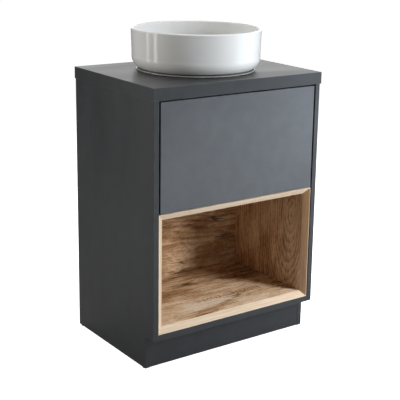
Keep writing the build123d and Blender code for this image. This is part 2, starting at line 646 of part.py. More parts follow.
nodes = {
    "worktop": drill(make_worktop(), worktop_screws),
    "side_panel_left": drill(make_side_panel(-1), worktop_screws + outer_holes + glides),
    "side_panel_right": drill(make_side_panel(1), worktop_screws + outer_holes + glides),
    "bottom_panel": drill(make_bottom_panel(), cam_pockets),
    "top_front_rail": drill(make_top_front_rail(), cam_pockets + worktop_screws),
    "top_back_rail": drill(make_top_back_rail(), cam_pockets),
    "lower_back_rail": drill(make_lower_back_rail(), cam_pockets),
    "plinth_board": drill(make_plinth_board(), cam_pockets),
    "glides": glides,
    "cam_locks": make_cam_locks(),
    "worktop_brackets": [drill(bracket, worktop_screws) for bracket in make_worktop_brackets()],
    "worktop_screws": worktop_screws,
    "niche_back": make_niche_back(),
    "basin": make_basin(),
    "basin_sealant": tube(171, 179, WORKTOP_TOP, BASE_Z),
    "waste_body": make_waste_body(),
    "waste_flange_seal": tube(DRAIN_HOLE_R, FLANGE_R - 1, BASE_Z + SEAT_HEIGHT, FLANGE_Z),
    "waste_washer": tube(TAIL_R + 0.3, BACK_NUT_R - 3, WORKTOP_UNDER - WASHER_THICK, WORKTOP_UNDER),
    "waste_nut": make_waste_nut(),
    "plug_cartridge": make_plug_cartridge(),
    "waste_plug": make_waste_plug(),
    "plug_seal": make_plug_seal(),
    "trap_outlet_nut": make_outlet_nut(),
    "trap_outlet_seal": make_outlet_seal(),
    "drawer_front": drill(make_drawer_front(), front_screws),
    "drawer_front_screws": front_screws,
    "outer_rail_screws": outer_screws,
    "inner_rail_screws": inner_screws,
    "push_open_units": make_push_open_units()}
nodes.update(make_niche_boards())
nodes.update(make_trap_inlet())
nodes.update(make_trap_head())
nodes.update(make_trap_cup())
nodes.update(make_drawer_box())
nodes.update(make_runners())
nodes["drawer_box_front"] = drill(nodes["drawer_box_front"], front_screws)
for side in ("left", "right"):
    nodes["drawer_side_" + side] = drill(nodes["drawer_side_" + side], inner_holes)

os.makedirs("parts", exist_ok=True)
for name, shape in nodes.items():
    pieces = shape if isinstance(shape, list) else [shape]
    solid_list = [solid for piece in pieces for solid in piece.solids()]
    whole = solid_list[0] if len(solid_list) == 1 else Compound(children=solid_list)
    export_step(whole, os.path.join("parts", name + ".step"))
    print(f"{name:24s} {len(solid_list)} solid(s)")
print(len(nodes), "nodes")
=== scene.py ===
import bpy
import math
import numpy as np
from mathutils import Matrix, Vector


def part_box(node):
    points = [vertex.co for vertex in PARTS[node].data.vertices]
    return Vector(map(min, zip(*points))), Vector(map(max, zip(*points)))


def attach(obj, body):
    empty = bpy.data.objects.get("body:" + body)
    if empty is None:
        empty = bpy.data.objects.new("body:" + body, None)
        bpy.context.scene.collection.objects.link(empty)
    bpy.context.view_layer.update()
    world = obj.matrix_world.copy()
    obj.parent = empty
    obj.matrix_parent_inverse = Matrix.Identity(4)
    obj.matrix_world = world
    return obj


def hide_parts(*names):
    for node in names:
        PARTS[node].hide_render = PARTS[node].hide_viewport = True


# A 600 mm washbasin vanity: a round glazed basin on a slate laminate worktop, one push-open
# drawer and an oak-lined open niche. Metres; X to the right, Y to the wall behind, Z up.
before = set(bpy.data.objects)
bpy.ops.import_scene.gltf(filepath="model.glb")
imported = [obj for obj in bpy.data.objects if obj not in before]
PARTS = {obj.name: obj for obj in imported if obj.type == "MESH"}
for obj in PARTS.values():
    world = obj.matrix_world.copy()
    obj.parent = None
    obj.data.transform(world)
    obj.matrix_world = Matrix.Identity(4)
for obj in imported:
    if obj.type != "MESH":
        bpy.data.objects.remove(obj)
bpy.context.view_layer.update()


# ---- Worktop ----------------------------------------------------------------------------------
# The top is a 36 mm chipboard slab, laminated in matt slate grey on its face and edges.
# The edging is ironed on and its arrises are eased, which leaves a slightly paler line there.

SLATE = ((0.0225, 0.0242, 0.0265, 1), (0.0315, 0.0338, 0.0370, 1), (0.070, 0.076, 0.083, 1))
ARRIS_WIDTH = 0.0022
FINISH = {"Color": "Color", "Roughness": "Float", "Height": "Float"}


def add(tree, kind, links=None, **settings):
    """One shader node. links gives each input a value, or the socket that feeds it."""
    node = tree.nodes.new(kind)
    for key, value in settings.items():
        setattr(node, key, value)
    for key, value in (links or {}).items():
        if isinstance(value, bpy.types.NodeSocket):
            tree.links.new(value, node.inputs[key])
        else:
            node.inputs[key].default_value = value
    return node


def own_place(tree):
    """The shaded point in the object's own coordinates."""
    return add(tree, "ShaderNodeTexCoord").outputs["Object"]


def split(tree, vector):
    """The X, Y and Z of a vector."""
    return add(tree, "ShaderNodeSeparateXYZ", {0: vector}).outputs


def calc(tree, operation, a, b=0.0, c=0.0):
    """The output of one Math node, with the sum's terms as values or sockets."""
    return add(tree, "ShaderNodeMath", {0: a, 1: b, 2: c}, operation=operation).outputs[0]


def calc_vector(tree, operation, a, b):
    """The output of one Vector Math node."""
    return add(tree, "ShaderNodeVectorMath", {0: a, 1: b}, operation=operation).outputs[0]


def flip(tree, mask):
    """One less the mask."""
    return calc(tree, "SUBTRACT", 1.0, mask)


def ease(tree, value, low, high, to_low=0.0, to_high=1.0):
    """A smooth step of value from low to high, onto the range to_low to to_high."""
    links = {"Value": value, 1: low, 2: high, 3: to_low, 4: to_high}
    return add(tree, "ShaderNodeMapRange", links, interpolation_type="SMOOTHSTEP").outputs[0]


def blend(tree, share, a, b):
    """The colour a turned into b by share."""
    links = {0: share, 6: a, 7: b}
    return add(tree, "ShaderNodeMix", links, data_type="RGBA").outputs[2]


def cloud(tree, vector, scale, detail=2.0, rough=0.5):
    """Soft noise of vector, whose scale may differ along X, Y and Z."""
    if not isinstance(scale, float):
        vector = add(tree, "ShaderNodeMapping", {"Vector": vector, "Scale": scale}).outputs[0]
        scale = 1.0
    links = {"Vector": vector, "Scale": scale, "Detail": detail, "Roughness": rough}
    return add(tree, "ShaderNodeTexNoise", links).outputs["Fac"]


def new_group(name, inputs, outputs):
    """An empty shader group. inputs and outputs give each socket's name its kind."""
    group = bpy.data.node_groups.new(name, "ShaderNodeTree")
    for way, sockets in (("INPUT", inputs), ("OUTPUT", outputs)):
        for label, kind in sockets.items():
            group.interface.new_socket(label, in_out=way, socket_type="NodeSocket" + kind)
    return group, group.nodes.new("NodeGroupInput").outputs, group.nodes.new("NodeGroupOutput")


def finish_group(group, end, **outputs):
    """Joins what a group gives to its output sockets."""
    for label, socket in outputs.items():
        group.links.new(socket, end.inputs[label])
    return group


def use_group(tree, group, **inputs):
    """Places a shader group in a tree and gives its inputs."""
    return add(tree, "ShaderNodeGroup", inputs, node_tree=group).outputs


def first_node(tree, kind):
    """The node of one kind that a new tree starts with."""
    return next(node for node in tree.nodes if node.type == kind)


def new_material(name):
    """A material with an empty Principled shader; returns it, its tree and the shader."""
    material = bpy.data.materials.new(name)
    material.use_nodes = True
    return material, material.node_tree, first_node(material.node_tree, "BSDF_PRINCIPLED")


def feed(tree, shader, color, roughness=None, height=None, depth=0.0, strength=1.0):
    """Joins a pattern to the shader: its colour, its roughness, and its height through a bump."""
    tree.links.new(color, shader.inputs["Base Color"])
    if roughness is not None:
        tree.links.new(roughness, shader.inputs["Roughness"])
    if height is not None:
        links = {"Height": height, "Distance": depth, "Strength": strength}
        tree.links.new(add(tree, "ShaderNodeBump", links).outputs[0], shader.inputs["Normal"])


def dress(material, *names):
    """Gives CAD pieces their finish."""
    for name in names:
        piece = PARTS[name]
        if not piece.material_slots:
            piece.data.materials.append(material)
        for holder in piece.material_slots:
            holder.material = material


def edge_line_group():
    """Paler along a board's arrises: the middle one of the point's distances from the three
    nearest faces of the board's box is small only beside an edge."""
    group, given, end = new_group(
        "arris", {"Low": "Vector", "High": "Vector", "Width": "Float"}, {"Mask": "Float"})
    place = own_place(group)
    up = calc_vector(group, "SUBTRACT", place, given["Low"])
    down = calc_vector(group, "SUBTRACT", given["High"], place)
    gap = split(group, calc_vector(group, "MINIMUM", up, down))
    lower = calc(group, "MINIMUM", gap[0], gap[1])
    upper = calc(group, "MAXIMUM", gap[0], gap[1])
    middle = calc(group, "MAXIMUM", lower, calc(group, "MINIMUM", upper, gap[2]))
    uneven = ease(group, cloud(group, place, 26.0), 0.3, 0.7, 0.5, 1.3)
    width = calc(group, "MULTIPLY", given["Width"], uneven)
    away = ease(group, calc(group, "DIVIDE", middle, width), 0.2, 1.0)
    return finish_group(group, end, Mask=flip(group, away))


def laminate_group():
    """Matt printed laminate: fine grain and pressed pores over a mottle and broad faint clouds,
    a little glossier where a cloth has wiped it, and paler along the arrises."""
    group, given, end = new_group(
        "laminate", {"Dark": "Color", "Light": "Color", "Arris": "Color", "Edge": "Float",
                     "Satin": "Float"}, FINISH)
    place = own_place(group)
    broad = cloud(group, place, 3.2, 3.0)
    grain = cloud(group, place, 620.0, 2.0, 0.6)
    pore = ease(group, cloud(group, place, 1500.0, 1.0), 0.56, 0.74)
    wipe = ease(group, cloud(group, place, (2.0, 9.0, 2.0)), 0.35, 0.7, -0.04, 0.04)
    mottle = cloud(group, place, 26.0, 4.0, 0.6)
    share = calc(group, "MULTIPLY_ADD", broad, 0.40, calc(group, "MULTIPLY", grain, 0.22))
    share = calc(group, "MULTIPLY_ADD", mottle, 0.38, share)
    colour = blend(group, ease(group, share, 0.34, 0.66), given["Dark"], given["Light"])
    colour = blend(group, calc(group, "MULTIPLY", given["Edge"], 0.45), colour, given["Arris"])
    rough = calc(group, "ADD", wipe, calc(group, "MULTIPLY", grain, 0.05))
    rough = calc(group, "ADD", rough, given["Satin"])
    height = calc(group, "SUBTRACT", grain, calc(group, "MULTIPLY", pore, 0.3))
    return finish_group(group, end, Color=colour, Roughness=rough, Height=height)


EDGE_LINE = edge_line_group()
LAMINATE = laminate_group()


def lay_slate(board, dark, light, arris, satin=0.34):
    """Slate laminate on one board, with its arrises where the board's own box has them."""
    low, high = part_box(board)
    material, tree, shader = new_material("slate_" + board)
    edge = use_group(tree, EDGE_LINE, Low=low, High=high, Width=ARRIS_WIDTH)["Mask"]
    out = use_group(tree, LAMINATE, Dark=dark, Light=light, Arris=arris, Edge=edge, Satin=satin)
    feed(tree, shader, out["Color"], out["Roughness"], out["Height"], 0.00005, 0.4)
    shader.inputs["IOR"].default_value = 1.6
    dress(material, board)


lay_slate("worktop", *SLATE)


# ---- Cabinet sides and floor --------------------------------------------------------------------
# Two 16 mm sides run down to the floor, notched for the toe space, with the 18 mm cabinet floor
# between them. They are the same slate laminate, pinned with cam locks.

for board in ("side_panel_left", "side_panel_right", "bottom_panel"):
    lay_slate(board, *SLATE)


# ---- Plinth and glides --------------------------------------------------------------------------
# The plinth board closes the toe space and is set back from the front. Four moulded
# polyamide glides are nailed under the sides.

lay_slate("plinth_board", *SLATE)


def moulded(name, dark, light, roughness, depth=0.00005):
    """Moulded plastic or rubber: a fine sparked texture and a faint cloudiness."""
    material, tree, shader = new_material(name)
    place = own_place(tree)
    spark = cloud(tree, place, 1400.0, 2.0, 0.6)
    flow = cloud(tree, place, 35.0, 3.0)
    colour = blend(tree, ease(tree, flow, 0.3, 0.7), dark, light)
    rough = ease(tree, flow, 0.25, 0.75, roughness - 0.05, roughness + 0.05)
    feed(tree, shader, colour, rough, spark, depth, 0.4)
    return material


dress(moulded("glide_nylon", (0.035, 0.035, 0.035, 1), (0.055, 0.055, 0.055, 1), 0.5), "glides")


# ---- Hidden rails -------------------------------------------------------------------------------
# The rails behind and above the drawer are raw-edged carcass board faced in pale grey melamine,
# with the chips showing on their cut ends.

RAIL_FACE = (0.30, 0.31, 0.32, 1)
RAIL_TINT = (0.34, 0.35, 0.36, 1)
CHIP_DARK = (0.24, 0.15, 0.08, 1)
CHIP_PALE = (0.55, 0.40, 0.25, 1)
END_SKIN = 0.0002


def melamine_group():
    """Melamine-faced chipboard: a pebbled face in clouds of two greys, and where Core is one,
    the pressed chips of a cut end in many browns."""
    group, given, end = new_group(
        "melamine", {"Face": "Color", "Tint": "Color", "Core": "Float"}, FINISH)
    place = own_place(group)
    pebble = cloud(group, place, 420.0, 2.0, 0.55)
    broad = cloud(group, place, 5.0, 2.0)
    chips = add(group, "ShaderNodeTexVoronoi", {"Vector": place, "Scale": 330.0}).outputs["Color"]
    chip_tone = add(group, "ShaderNodeSeparateColor", {0: chips}).outputs[0]
    chip = blend(group, chip_tone, CHIP_DARK, CHIP_PALE)
    face = blend(group, ease(group, broad, 0.3, 0.7), given["Face"], given["Tint"])
    colour = blend(group, given["Core"], face, chip)
    rough = ease(group, pebble, 0.3, 0.7, 0.40, 0.52)
    return finish_group(group, end, Color=colour, Roughness=rough, Height=pebble)


MELAMINE = melamine_group()


def end_mask(tree, board, axis):
    """One on the two cut ends of a board along an axis, none elsewhere."""
    low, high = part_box(board)
    along = split(tree, own_place(tree))[axis]
    start = calc(tree, "LESS_THAN", along, low[axis] + END_SKIN)
    stop = calc(tree, "GREATER_THAN", along, high[axis] - END_SKIN)
    return calc(tree, "MAXIMUM", start, stop)


def face_melamine(board, face, tint, axis):
    """Melamine on one board, with raw ends along one axis."""
    material, tree, shader = new_material("melamine_" + board)
    core = end_mask(tree, board, axis)
    out = use_group(tree, MELAMINE, Face=face, Tint=tint, Core=core)
    feed(tree, shader, out["Color"], out["Roughness"], out["Height"], 0.00008, 0.4)
    dress(material, board)


for board in ("top_front_rail", "top_back_rail", "lower_back_rail"):
    face_melamine(board, RAIL_FACE, RAIL_TINT, 0)


# ---- Cam locks, angles and screws ---------------------------------------------------------------
# Die-cast zinc cams pull the boards together; folded galvanised angles and zinc-plated
# chipboard screws hold the worktop down.

def metal_group():
    """Plated or cast metal: crystalline spangle, fine scratches along X and dull spots."""
    group, given, end = new_group(
        "plated_metal", {"Dark": "Color", "Light": "Color", "Rough": "Float"}, FINISH)
    place = own_place(group)
    cells = add(group, "ShaderNodeTexVoronoi", {"Vector": place, "Scale": 210.0}).outputs["Color"]
    spangle = add(group, "ShaderNodeSeparateColor", {0: cells}).outputs[0]
    scratch = cloud(group, place, (60.0, 2400.0, 2400.0), 2.0, 0.6)
    spots = ease(group, cloud(group, place, 90.0, 3.0), 0.52, 0.72)
    share = calc(group, "MULTIPLY_ADD", spangle, 0.5, calc(group, "MULTIPLY", scratch, 0.5))
    colour = blend(group, share, given["Dark"], given["Light"])
    dull = calc(group, "MULTIPLY_ADD", spots, 0.14, calc(group, "MULTIPLY", scratch, 0.12))
    rough = calc(group, "ADD", given["Rough"], dull)
    return finish_group(group, end, Color=colour, Roughness=rough, Height=scratch)


METAL = metal_group()


def metal(name, dark, light, rough, depth=0.00002):
    """A metal finish from the plated metal pattern."""
    material, tree, shader = new_material(name)
    out = use_group(tree, METAL, Dark=dark, Light=light, Rough=rough)
    feed(tree, shader, out["Color"], out["Roughness"], out["Height"], depth, 0.3)
    shader.inputs["Metallic"].default_value = 1.0
    return material


CAST_ZINC = metal("cast_zinc", (0.36, 0.37, 0.38, 1), (0.52, 0.53, 0.54, 1), 0.38, 0.00006)
PLATED_STEEL = metal("plated_steel", (0.50, 0.52, 0.55, 1), (0.72, 0.73, 0.75, 1), 0.22)
dress(CAST_ZINC, "cam_locks")
dress(PLATED_STEEL, "worktop_brackets", "worktop_screws")


# ---- Niche --------------------------------------------------------------------------------------
# The open niche is lined with oak-decor boards mitred at the corners, with a back board behind.
# A wide bevel round the mouth is edged in pale straight-grained oak.

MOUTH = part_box("niche_board_left")[0][1]
LIP_END = MOUTH + 0.0008
BEVEL_END = MOUTH + 0.014
# How far inside the mouth the painted light on the niche floor fades out.
MOUTH_LIGHT_END = BEVEL_END + 0.20
OAK_HONEY = (0.76, 0.545, 0.350, 1)
OAK_BROWN = (0.43, 0.245, 0.117, 1)
OAK_CREAM = (0.83, 0.700, 0.540, 1)
OAK_UMBER = (0.150, 0.070, 0.028, 1)
OAK_PORE = (0.15, 0.08, 0.038, 1)
OAK_CRACK = (0.036, 0.017, 0.008, 1)
# Bevel edging tones: the pale one is the edging's own colour, the brown one is painted shade for a
# bevel turned away from the light, and the paler top one is painted light.
PAINTED_SHADE_EDGE = ((0.385, 0.228, 0.116, 1), (0.250, 0.136, 0.062, 1))
PALE_EDGE = ((0.68, 0.540, 0.400, 1), (0.53, 0.390, 0.265, 1))
PAINTED_LIGHT_TOP_EDGE = ((0.86, 0.71, 0.545, 1), (0.70, 0.54, 0.385, 1))
SAW_Y, SAW_SLANT = -0.112, 0.02
SAW_FROM, SAW_TO = -0.09, 0.22
UPRIGHT = (0.0, math.radians(90), 0.0)
LEVEL = (0.0, 0.0, 0.0)


def oak_group():
    """Oak cut from a tree whose rings lie round an axis along X: the distance from the axis,
    which slow noise bends, knots push aside and Taper changes along X, gives the figure.
    Stretched noise gives streaks, blotches, flecks, fibres and pores, narrow bands of it give
    dark checks, and a jittered sine along X gives saw strokes where Saw is one."""
    group, given, end = new_group(
        "oak", {"Vector": "Vector", "Rings": "Float", "Checks": "Float", "Lift": "Float",
                "Saw": "Float", "Figure": "Float", "Taper": "Float"}, FINISH)
    raw = given["Vector"]
    bend = add(group, "ShaderNodeMapping", {"Vector": raw, "Scale": (1.1, 5.0, 5.0)}).outputs[0]
    links = {"Vector": bend, "Scale": 1.0, "Detail": 2.0}
    slow = add(group, "ShaderNodeTexNoise", links).outputs["Color"]
    slow = calc_vector(group, "SUBTRACT", slow, (0.5, 0.5, 0.5))
    moved = calc_vector(group, "ADD", raw, calc_vector(group, "MULTIPLY", slow, (0.0, 0.07, 0.07)))

    def stretched(along, across, detail, rough, low, high):
        """Noise drawn out along the grain, as a smooth step from low to high."""
        noise = cloud(group, moved, (along, across, across), detail, rough)
        return ease(group, noise, low, high)

    cell = add(group, "ShaderNodeMapping", {"Vector": moved, "Scale": (3.1, 6.5, 6.5)}).outputs[0]
    knots = add(group, "ShaderNodeTexVoronoi", {"Vector": cell, "Scale": 1.0}).outputs["Distance"]
    knot = flip(group, ease(group, knots, 0.035, 0.10))
    push = flip(group, ease(group, knots, 0.0, 0.38))
    part = split(group, moved)
    deep = calc(group, "MULTIPLY_ADD", part[0], given["Taper"], part[2])
    square = calc(group, "ADD", calc(group, "POWER", part[1], 2.0), calc(group, "POWER", deep, 2.0))
    radius = calc(group, "MULTIPLY_ADD", push, 0.022, calc(group, "SQRT", square))
    wobble = cloud(group, moved, (13.0, 60.0, 60.0), 3.0, 0.6)
    turn = calc(group, "MULTIPLY_ADD", wobble, 1.3, calc(group, "MULTIPLY", radius, given["Rings"]))
    ring = calc(group, "FRACT", turn)
    late = calc(group, "MULTIPLY", ease(group, ring, 0.15, 0.86), ease(group, ring, 1.0, 0.93))
    fibre = cloud(group, moved, (26.0, 520.0, 520.0), 3.0, 0.6)
    streak = stretched(7.0, 90.0, 4.0, 0.65, 0.34, 0.66)
    blotch = stretched(10.0, 30.0, 5.0, 0.65, 0.38, 0.62)
    fleck = stretched(75.0, 240.0, 4.0, 0.7, 0.48, 0.66)
    pore = stretched(90.0, 1300.0, 1.0, 0.5, 0.56, 0.70)
    broad = stretched(2.6, 8.0, 3.0, 0.55, 0.36, 0.64)
    line = calc(group, "SUBTRACT", cloud(group, moved, (3.2, 30.0, 30.0), 5.0, 0.6), 0.5)
    line = flip(group, ease(group, calc(group, "ABSOLUTE", line), 0.006, 0.034))
    where = ease(group, cloud(group, raw, (4.0, 12.0, 12.0)), 0.50, 0.60)
    check = calc(group, "MULTIPLY", calc(group, "MULTIPLY", line, where), given["Checks"])
    jitter = calc(group, "MULTIPLY", cloud(group, raw, (28.0, 45.0, 45.0), 3.0, 0.7), 22.0)
    saw = calc(group, "SINE", calc(group, "MULTIPLY_ADD", part[0], 560.0, jitter))
    saw = calc(group, "MULTIPLY", ease(group, saw, -0.1, 0.8), given["Saw"])
    tone = calc(group, "MULTIPLY", broad, 0.34)
    for pattern, share in ((streak, 0.26), (blotch, 0.36), (late, given["Figure"]),
                           (fibre, 0.16), (fleck, 0.34), (saw, 0.62)):
        tone = calc(group, "MULTIPLY_ADD", pattern, share, tone)
    tone = calc(group, "SUBTRACT", tone, given["Lift"])
    colour = blend(group, ease(group, tone, 0.25, 0.85), OAK_HONEY, OAK_BROWN)
    colour = blend(group, ease(group, tone, 0.22, -0.08), colour, OAK_CREAM)
    colour = blend(group, ease(group, tone, 0.80, 1.30), colour, OAK_UMBER)
    colour = blend(group, calc(group, "MULTIPLY", pore, 0.45), colour, OAK_PORE)
    dark = calc(group, "MULTIPLY", calc(group, "MAXIMUM", check, knot), 0.9)
    colour = blend(group, dark, colour, OAK_CRACK)
    rough = calc(group, "MULTIPLY_ADD", fibre, 0.2, 0.42)
    open_grain = calc(group, "MULTIPLY", calc(group, "MAXIMUM", pore, check), 1.2)
    height = calc(group, "SUBTRACT", fibre, open_grain)
    return finish_group(group, end, Color=colour, Roughness=rough, Height=height)


OAK = oak_group()


def saw_band(tree, place):
    """A broken band of saw strokes across the grain on the niche floor: one inside a slanting
    strip of the board with ragged sides and fading ends, none outside it."""
    part = split(tree, place)
    middle = calc(tree, "MULTIPLY_ADD", part[0], SAW_SLANT, SAW_Y)
    off = calc(tree, "ABSOLUTE", calc(tree, "SUBTRACT", part[1], middle))
    ragged = calc(tree, "MULTIPLY", cloud(tree, place, (110.0, 30.0, 30.0), 3.0, 0.7), 0.060)
    strip = ease(tree, calc(tree, "ADD", off, ragged), 0.046, 0.034)
    start = ease(tree, part[0], SAW_FROM, SAW_FROM + 0.03)
    stop = ease(tree, part[0], SAW_TO, SAW_TO - 0.05)
    return calc(tree, "MULTIPLY", strip, calc(tree, "MULTIPLY", start, stop))


def line_oak(board, turn, shift, rings=105.0, checks=1.0, unshaded_bevel=1.0, lift=0.0, front=0.0,
             saw=False, figure=0.26, taper=0.12, edge=PALE_EDGE):
    """Oak decor on one board. turn lays the grain along the board and shift moves the tree's
    heart; front pales the part near the mouth in noisy patches, as painted light falling in at
    the mouth. The bevel at the mouth is the pale straight-grained edging, a paler tone of it
    painted as light on a bevel that catches the light, or a brown tone painted as shade on a
    bevel turned away from the light, and the narrow lip in front of it always takes the edging
    tone."""
    material, tree, shader = new_material("oak_" + board)
    place = own_place(tree)
    links = {"Vector": place, "Rotation": turn, "Location": shift}
    laid = add(tree, "ShaderNodeMapping", links).outputs[0]
    inward = split(tree, place)[1]
    patch = ease(tree, cloud(tree, laid, (5.0, 20.0, 20.0), 4.0, 0.6), 0.46, 0.60, 0.2, 1.0)
    # Painted light: the part near the mouth is paled in noisy patches, fading out inwards; lift
    # pales the whole board.
    mouth_light_and_lift = calc(tree, "MULTIPLY", patch, ease(tree, inward, MOUTH_LIGHT_END, BEVEL_END))
    mouth_light_and_lift = calc(tree, "MULTIPLY_ADD", mouth_light_and_lift, front, lift)
    marks = saw_band(tree, place) if saw else 0.0
    out = use_group(tree, OAK, Vector=laid, Rings=rings, Checks=checks, Lift=mouth_light_and_lift, Saw=marks,
                    Figure=figure, Taper=taper)
    strand = cloud(tree, laid, (14.0, 700.0, 700.0), 3.0, 0.6)
    band = cloud(tree, laid, (2.5, 110.0, 110.0))
    share = calc(tree, "MULTIPLY_ADD", strand, 0.6, calc(tree, "MULTIPLY", band, 0.4))
    share = ease(tree, share, 0.36, 0.64)
    lip = calc(tree, "LESS_THAN", inward, LIP_END)
    # The bevel takes the edging tone; the brown tone is painted shade and a paler given tone is
    # painted light.
    edging_and_painted_shading = blend(tree, calc(tree, "MAXIMUM", lip, unshaded_bevel), blend(tree, share, *PAINTED_SHADE_EDGE),
                   blend(tree, share, *edge))
    colour = blend(tree, calc(tree, "LESS_THAN", inward, BEVEL_END), out["Color"], edging_and_painted_shading)
    feed(tree, shader, colour, out["Roughness"], out["Height"], 0.0002, 0.5)
    dress(material, board)


line_oak("niche_back", LEVEL, (0.35, 0.02, -0.235))
# The floor board's front part is paled as painted light falling in at the mouth.
line_oak("niche_board_bottom", LEVEL, (-0.22, 0.065, -0.10), 95.0, lift=0.10, front=0.60, saw=True)
# The top bevel's edging is painted in a paler tone as painted light.
line_oak("niche_board_top", LEVEL, (0.9, 0.03, -0.42), edge=PAINTED_LIGHT_TOP_EDGE)
line_oak("niche_board_left", UPRIGHT, (0.7, 0.05, -0.22))
# The right bevel faces away from the light, so its edging is painted in a brown tone as painted
# shade.
line_oak("niche_board_right", UPRIGHT, (1.9, 0.150, -0.515), 100.0, 0.4, unshaded_bevel=0.0, lift=0.28,
         figure=0.42, taper=0.34)


# ---- Basin --------------------------------------------------------------------------------------
# The basin is slip-cast vitreous china, turned in section: a thin rolled rim, a wall that leans
# in a little, a curved heel and a foot ring below a shadow groove, all under a clear gloss glaze.

MM = 0.001
BASIN_SEGMENTS, CORNER_STEPS = 192, 5
SHARP_ANGLE = math.radians(35)
BASIN_HEIGHT = 0.125
basin_low, basin_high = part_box("basin")
BASIN_X = (basin_low[0] + basin_high[0]) / 2
BASIN_Y = (basin_low[1] + basin_high[1]) / 2
BASIN_FOOT = basin_low[2]
GROOVE_RADIUS = 0.1775
GROOVE_LOW, GROOVE_HIGH = BASIN_FOOT + 0.0029, BASIN_FOOT + 0.0083
RING_TOP = BASIN_FOOT + 0.0028
WARP, SHRINK = 0.00022, 0.0003
# Radius and height, in millimetres, of the corners from the groove over the foot ring to the
# drain, and how far each is cut back.
FOOT_CORNERS = [(171, 8.1), (171, 3.1), (180, 3.1), (180, 0), (168, 0), (163, 5), (50, 5), (45, 0),
                (23, 0), (23, 12), (34, 12), (34, 15), (90, 16.2)]
FOOT_TRIMS = [0.5, 0.5, 0.7, 0.9, 0.9, 1, 1, 1, 0.8, 0.8, 0.5, 1.6, 0.2]
GLAZE_WHITE = (0.655, 0.660, 0.652, 1)
GLAZE_CREAM = (0.635, 0.636, 0.622, 1)
PINHOLE = (0.55, 0.54, 0.52, 1)
# Near black in the groove is painted shade; the foot ring's grey is bare china made darker as
# painted shade.
PAINTED_GROOVE_SHADE = (0.11, 0.105, 0.097, 1)
BARE_RING_PAINTED_SHADE = (0.30, 0.297, 0.287, 1)


def arc(start, through, stop, steps):
    """Points on the circle through three points, from start to stop by way of through."""
    a, b, c = (np.array(p, float) for p in (start, through, stop))
    sides = 2 * np.array([b - a, c - a])
    centre = np.linalg.solve(sides, np.array([b @ b - a @ a, c @ c - a @ a]))
    angles = np.arctan2(*(np.array([a, b, c]) - centre).T[::-1])
    full = 2 * math.pi
    if (angles[1] - angles[0]) % full > (angles[2] - angles[0]) % full:
        sweep = -((angles[0] - angles[2]) % full)
    else:
        sweep = (angles[2] - angles[0]) % full
    t = angles[0] + sweep * np.linspace(0, 1, steps)
    return centre + np.linalg.norm(a - centre) * np.column_stack([np.cos(t), np.sin(t)])


def eased(corners, trims):
    """A closed outline with each corner cut back by its trim and bent through a Bezier whose
    middle point is the corner."""
    p = np.array(corners, float)
    back = np.roll(p, 1, axis=0) - p
    ahead = np.roll(p, -1, axis=0) - p
    back_len = np.linalg.norm(back, axis=1, keepdims=True)
    ahead_len = np.linalg.norm(ahead, axis=1, keepdims=True)
    cut = np.minimum(np.array(trims, float)[:, None], 0.45 * np.minimum(back_len, ahead_len))
    first = (p + back / back_len * cut)[:, None]
    last = (p + ahead / ahead_len * cut)[:, None]
    u = np.linspace(0, 1, CORNER_STEPS)[None, :, None]
    bent = (1 - u) ** 2 * first + 2 * u * (1 - u) * p[:, None] + u ** 2 * last
    return bent.reshape(-1, 2)


def grid_mesh(name, points, wrap_rows=False):
    """A mesh from a grid of points (rows, columns, 3) whose columns close round. Rows close
    round too if wrap_rows, and an end row of no size becomes one point, so poles are closed."""
    rows, columns = points.shape[:2]
    row = np.arange(rows if wrap_rows else rows - 1)[:, None]
    column = np.arange(columns)[None, :]
    beside = (column + 1) % columns
    above = (row + 1) % rows
    quads = np.stack([row * columns + column, row * columns + beside,
                      above * columns + beside, above * columns + column], axis=-1).reshape(-1, 4)
    flat = np.round(points.reshape(-1, 3), 8)
    places, merged = np.unique(flat, axis=0, return_inverse=True)
    quads = merged.reshape(-1)[quads]
    doubled = quads == np.roll(quads, 1, axis=1)
    whole = quads[~doubled.any(axis=1)]
    tips = quads[doubled.sum(axis=1) == 1]
    tips = tips[tips != np.roll(tips, 1, axis=1)].reshape(-1, 3)
    mesh = bpy.data.meshes.new(name)
    mesh.from_pydata(places.tolist(), [], whole.tolist() + tips.tolist())
    mesh.validate()
    mesh.polygons.foreach_set("use_smooth", np.ones(len(mesh.polygons), bool))
    mesh.set_sharp_from_angle(angle=SHARP_ANGLE)
    piece = bpy.data.objects.new(name, mesh)
    bpy.context.scene.collection.objects.link(piece)
    return piece


def turned(name, outline, centre, segments, shape):
    """A lathed piece: outline is closed (radius, height) points, anticlockwise for an outward
    face, carried round the vertical axis at centre. shape(angle, radius, height) gives the
    radius that each point ends with."""
    angle = np.arange(segments) * 2 * math.pi / segments
    angle = np.repeat(angle[None, :], len(outline), axis=0)
    radius = np.repeat(outline[:, :1], segments, axis=1)
    height = np.repeat(outline[:, 1:], segments, axis=1)
    radius = shape(angle, radius, height)
    points = np.stack([centre[0] + radius * np.cos(angle),
                       centre[1] + radius * np.sin(angle), centre[2] + height], axis=-1)
    return grid_mesh(name, points, wrap_rows=True)


def basin_outline():
    """The basin's section in metres: eased corners at the foot and drain, circles through
    three points for the well's corner, the rim and the heel, and straight leaning walls."""
    foot = eased(FOOT_CORNERS, FOOT_TRIMS)[2:]
    well = arc((150, 17.5), (175.5, 26.5), (185.5, 52), 26)
    inner_wall = np.column_stack([np.linspace(185.7, 187.9, 12), np.linspace(57, 118, 12)])
    rim = arc((188, 120.5), (192.5, 125), (197, 120.5), 17)
    outer_wall = np.column_stack([np.linspace(196.9, 194.6, 12), np.linspace(118, 47, 12)])
    heel = arc((194.5, 44), (189.2, 19.5), (178.6, 8.1), 22)
    return np.vstack([foot, well, inner_wall, rim, outer_wall, heel])[::-1] * MM


